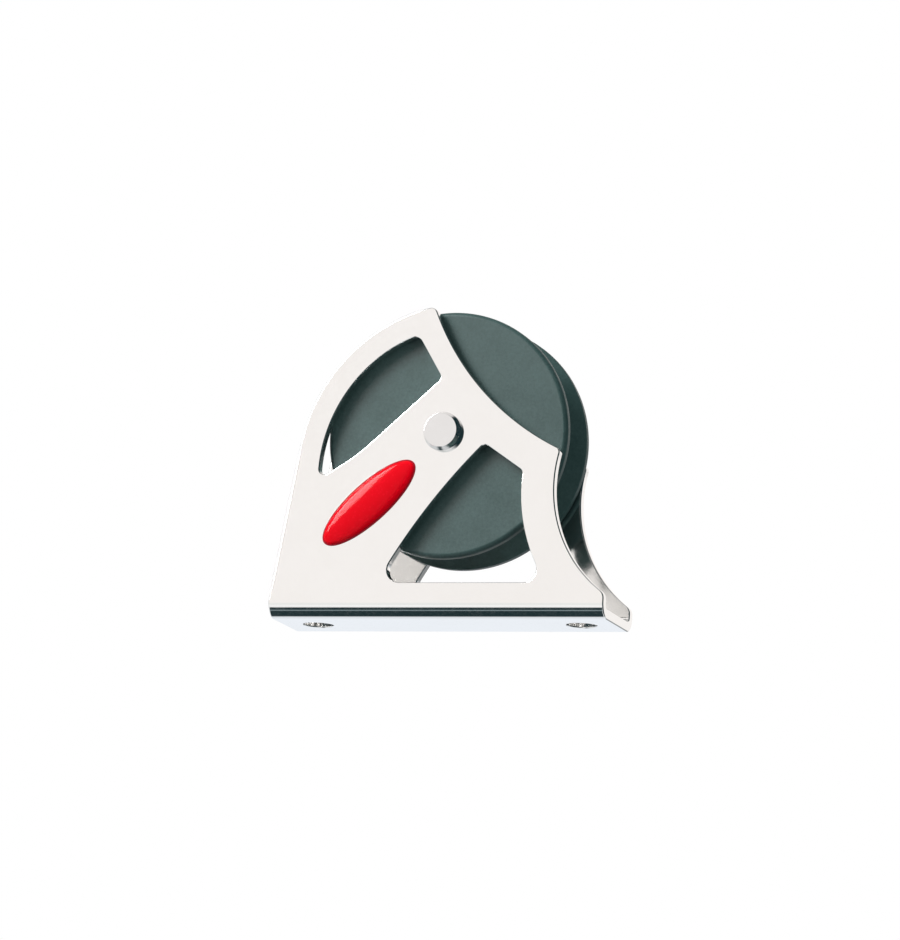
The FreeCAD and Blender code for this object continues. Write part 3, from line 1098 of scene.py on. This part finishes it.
@dataclass
class Bearing:
    """The bearing inside the sheave, shown as its CAD nodes with their own finishes."""

    roller_count: int = 10
    finishes: dict[str, Finish] = field(default_factory=dict)

    def __post_init__(self) -> None:
        """Say which finish each node of the bearing takes."""
        race = GroundSteel("ground_race_steel")
        washer = PlainResin("skived_washer_resin", (0.80, 0.80, 0.77))
        self.finishes = {
            "bearing_sleeve": race,
            "bearing_bush": race,
            "roller_cage": PlainResin("moulded_cage_resin", (0.73, 0.72, 0.67)),
            "thrust_washer_near": washer,
            "thrust_washer_far": washer,
        }
        rollers = GroundSteel("lapped_roller_steel", (0.78, 0.78, 0.77), 0.1)
        for number in range(1, self.roller_count + 1):
            self.finishes[f"roller_{number:02d}"] = rollers

    def build(self) -> None:
        """Dress each node."""
        for name, finish in self.finishes.items():
            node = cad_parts[name]
            node.data.materials.clear()
            node.data.materials.append(finish.material())
            log.info("%s: finish %s", name, finish.name)


@dataclass(frozen=True)
class Lamp:
    """An area lamp that faces the object.

    Attributes:
        name: name of the lamp.
        towards: direction from the object to the lamp.
        distance: its distance in millimetres.
        size: the lamp's two sides in millimetres.
        power: watts.
        turn: turn about its own axis in degrees.
        glossy: whether mirrors show it.
        diffuse: whether it lights matt surfaces.
    """

    name: str
    towards: Triple
    distance: float
    size: tuple[float, float]
    power: float
    turn: float = 0.0
    glossy: bool = False
    diffuse: bool = True

    def hang(self, height: float) -> None:
        """Add the lamp to the scene, aimed at a height in millimetres."""
        data = bpy.data.lights.new(self.name, "AREA")
        data.shape = "RECTANGLE"
        data.size, data.size_y = (side * METRES_PER_MM for side in self.size)
        data.energy = self.power
        lamp = placed(self.name, data)
        away = Vector(self.towards).normalized()
        aim = away.to_track_quat("Z", "Y").to_matrix().to_4x4()
        centre = Vector((0, 0, height * METRES_PER_MM))
        spin = Matrix.Rotation(math.radians(self.turn), 4, "Z")
        lamp.matrix_world = Matrix.Translation(centre + away * self.distance * METRES_PER_MM) @ aim @ spin
        lamp.visible_glossy = self.glossy
        lamp.visible_diffuse = self.diffuse


@dataclass
class Studio:
    """A white studio: world, lamps, floor, and the camera at the photograph's angle.

    Attributes:
        ground: what mirrors show below the horizon, by degrees from the front through straight down to the back.
        dark_walls: for each dark wall its direction, the range over which it comes in, and its colour.
        dark_strip: X of the strip in which the ground is dark, and how far from it that starts and ends to pale.
    """

    half_width: float = 11.75
    axle_height: float = 42.5
    turn: float = 18.4413
    tilt: float = -10.5468
    roll: float = 3.1287
    distance: float = 1428.6
    aside: float = 1.459
    above: float = -8.603
    focal_pixels: float = 6297.0
    image_height: float = 940.0
    sensor: float = 36.0
    clip: tuple[float, float] = (0.05, 100.0)
    soft_light: float = 0.26
    soft_tint: Colour = (0.82, 0.95, 1.0)
    ground: tuple[tuple[float, Colour], ...] = (
        (0.0, (0.996, 0.962, 0.938)), (6.0, (0.91, 0.92, 0.90)), (17.0, (0.89, 0.90, 0.88)),
        (20.0, WHITE), (33.0, WHITE), (39.0, (0.015, 0.032, 0.036)), (54.0, (0.015, 0.032, 0.036)),
        (57.0, (0.22, 0.28, 0.30)), (61.0, (0.22, 0.28, 0.30)), (64.0, (0.015, 0.032, 0.036)),
        (113.0, (0.015, 0.032, 0.036)), (123.0, (0.78, 0.81, 0.85)), (150.0, (0.88, 0.92, 0.98)),
        (180.0, (0.89, 0.93, 0.98)),
    )
    dark_walls: tuple[tuple[Triple, tuple[float, float], Colour], ...] = (
        ((1.0, -0.25, 0.0), (0.26, 0.44), (0.010, 0.030, 0.036)),
        ((0.25, 0.0, 0.97), (0.88, 0.96), (0.10, 0.11, 0.11)),
        ((0.2, 0.94, -0.27), (0.93, 0.985), (0.26, 0.27, 0.27)),
        ((-0.72, 0.35, 0.6), (0.72, 0.84), (0.12, 0.12, 0.11)),
    )
    dark_strip: Triple = (-0.311, 0.05, 0.20)
    open_ground: Colour = (0.80, 0.82, 0.83)
    floor_drop: float = 0.05
    floor_half: float = 3000.0
    # painted glow of the floor: weaker emission near the object, so the floor is darker round it, and stronger
    # further off, in place of lamp light
    floor_painted_glow: tuple[float, float] = (0.38, 0.80)
    floor_glow_reach: tuple[float, float] = (130.0, 500.0)
    floor_grain: float = 40.0
    floor_shades: tuple[Colour, Colour] = ((0.97, 0.97, 0.97), (0.94, 0.94, 0.94))
    lamps: tuple[Lamp, ...] = (
        Lamp("key_light", (-0.6, -0.5, 0.6), 1600.0, (560.0, 560.0), 36.0),
        Lamp("streak_light", (-0.64, -0.6, 0.46), 1500.0, (620.0, 760.0), 42.0, 20.0, glossy=True, diffuse=False),
        Lamp("back_light", (0.2, 0.85, 0.45), 1600.0, (900.0, 900.0), 13.0),
        Lamp("fill_light", (0.85, -0.5, 0.1), 1600.0, (700.0, 900.0), 9.0),
    )

    def camera_axes(self) -> tuple[Array, Array, Array]:
        """The camera's right, up and backward directions, with its roll."""
        turn, tilt, roll = (math.radians(value) for value in (self.turn, self.tilt, self.roll))
        level_share = math.cos(tilt)
        back = np.array([math.sin(turn) * level_share, -math.cos(turn) * level_share, math.sin(tilt)])
        level = np.array([math.cos(turn), math.sin(turn), 0])
        upright = np.cross(back, level)
        right = level * math.cos(roll) + upright * math.sin(roll)
        up = upright * math.cos(roll) - level * math.sin(roll)
        return right, up, back

    def add_camera(self) -> None:
        """Place the camera and make it the scene's."""
        right, up, back = self.camera_axes()
        target = np.array([0, -self.half_width, self.axle_height])
        place = target + self.aside * right + self.above * up + self.distance * back
        data = bpy.data.cameras.new("camera")
        data.sensor_fit = "VERTICAL"
        data.sensor_height = self.sensor
        data.lens = self.focal_pixels * self.sensor / self.image_height
        data.clip_start, data.clip_end = self.clip
        camera = placed("camera", data)
        axes = Matrix(np.column_stack([right, up, back]).tolist()).to_4x4()
        camera.matrix_world = Matrix.Translation(Vector(place * METRES_PER_MM)) @ axes
        bpy.context.scene.camera = camera

    def add_world(self) -> None:
        """White to the eye and through glass, dark under the bench in mirrors, soft as a light."""
        world = bpy.data.worlds.new("studio_world")
        bpy.context.scene.world = world
        nodes = NodeTree(world, "ShaderNodeOutputWorld")
        direction = nodes.add("ShaderNodeTexCoord").outputs["Generated"]
        mirrored = self.mirrored(nodes, direction)
        lights = [nodes.add("ShaderNodeBackground", Color=colour, Strength=strength).outputs[0]
                  for colour, strength in (((*self.soft_tint, 1), self.soft_light), (mirrored, 1.0),
                                           ((*WHITE, 1), 1.0))]
        path = nodes.add("ShaderNodeLightPath").outputs
        clear = nodes.maths("MAXIMUM", path["Is Camera Ray"], path["Is Transmission Ray"])
        light = nodes.mixed(clear, nodes.mixed(path["Is Glossy Ray"], lights[0], lights[1]), lights[2])
        nodes.feed(nodes.output.inputs["Surface"], light)

    def mirrored(self, nodes: NodeTree, direction: bpy.types.NodeSocket) -> bpy.types.NodeSocket:
        """What mirrors show in a direction: the ground from front to back, a white front and the dark walls."""
        x, y, z = nodes.add("ShaderNodeSeparateXYZ", Vector=direction).outputs
        under = nodes.maths("ARCTAN2", nodes.maths("MULTIPLY", z, -1.0), nodes.maths("MULTIPLY", y, -1.0))
        share = nodes.maths("DIVIDE", under, math.pi)
        ramp = nodes.add("ShaderNodeValToRGB")
        nodes.feed(ramp.inputs[0], share)
        elements = ramp.color_ramp.elements
        for degrees, _ in self.ground[1:-1]:
            elements.new(degrees / 180.0)
        for element, (degrees, colour) in zip(elements, self.ground):
            element.position = degrees / 180.0
            element.color = (*colour, 1)
        middle, near, far = self.dark_strip
        aside = nodes.maths("ABSOLUTE", nodes.maths("SUBTRACT", x, middle))
        opened = nodes.ramp(aside, near, far, 0.0, 1.0)
        ground = nodes.between(opened, ramp.outputs[0], self.open_ground, "LIGHTEN")
        shown = nodes.between(nodes.maths("GREATER_THAN", share, 0.0), self.ground[0][1], ground)
        for towards, span, shade in self.dark_walls:
            aim = nodes.add("ShaderNodeVectorMath", {"operation": "DOT_PRODUCT"}, Vector=direction)
            aim.inputs[1].default_value = towards
            shown = nodes.between(nodes.ramp(aim.outputs["Value"], *span, 0.0, 1.0), shown, shade)
        return shown

    def add_floor(self) -> None:
        """A pale floor under the base that is seen from above only, and takes the object's shadow; its painted
        glow is weaker near the object and stronger further off.
        """
        half, drop = self.floor_half * METRES_PER_MM, self.floor_drop * METRES_PER_MM
        mesh = bpy.data.meshes.new("floor")
        corners = [(x * half, y * half, -drop) for x, y in ((-1, -1), (1, -1), (1, 1), (-1, 1))]
        mesh.from_pydata(corners, [], [(0, 1, 2, 3)])
        nodes = NodeTree.of_material("floor_white")
        where = nodes.place()
        # painted glow: the emission rises with the distance from the object, so the floor is darker round it and
        # brighter far off
        away = nodes.add("ShaderNodeVectorMath", {"operation": "LENGTH"}, Vector=where).outputs["Value"]
        reach = [METRES_PER_MM * span for span in self.floor_glow_reach]
        shader = nodes.add("ShaderNodeBsdfPrincipled", Roughness=0.9, Specular_IOR_Level=0.0,
                           Base_Color=nodes.between(nodes.noise(where, self.floor_grain), *self.floor_shades),
                           Emission_Color=(*WHITE, 1),
                           Emission_Strength=nodes.ramp(away, *reach, *self.floor_painted_glow))
        clear = nodes.add("ShaderNodeBsdfTransparent").outputs[0]
        back = nodes.add("ShaderNodeNewGeometry").outputs["Backfacing"]
        nodes.feed(nodes.output.inputs["Surface"], nodes.mixed(back, shader.outputs[0], clear))
        mesh.materials.append(nodes.made)
        floor = placed("floor", mesh)
        floor.visible_glossy = floor.visible_diffuse = False
        floor.visible_shadow = floor.visible_transmission = False

    def build(self) -> None:
        """Set up everything round the object."""
        self.add_camera()
        self.add_world()
        self.add_floor()
        for lamp in self.lamps:
            lamp.hang(self.axle_height)
        bpy.context.scene.view_settings.view_transform = "Standard"
        log.info("studio: camera, world, lamps and floor")


def main() -> None:
    """Build the pieces in order, then the studio."""
    logging.basicConfig(level=logging.INFO, format="%(message)s")
    side_frame = SideFrame()
    side_frame.build()
    Sheave().build()
    AxlePin().build()
    Badge(side_frame).build()
    Bearing().build()
    Studio().build()


if __name__ == "__main__":
    main()
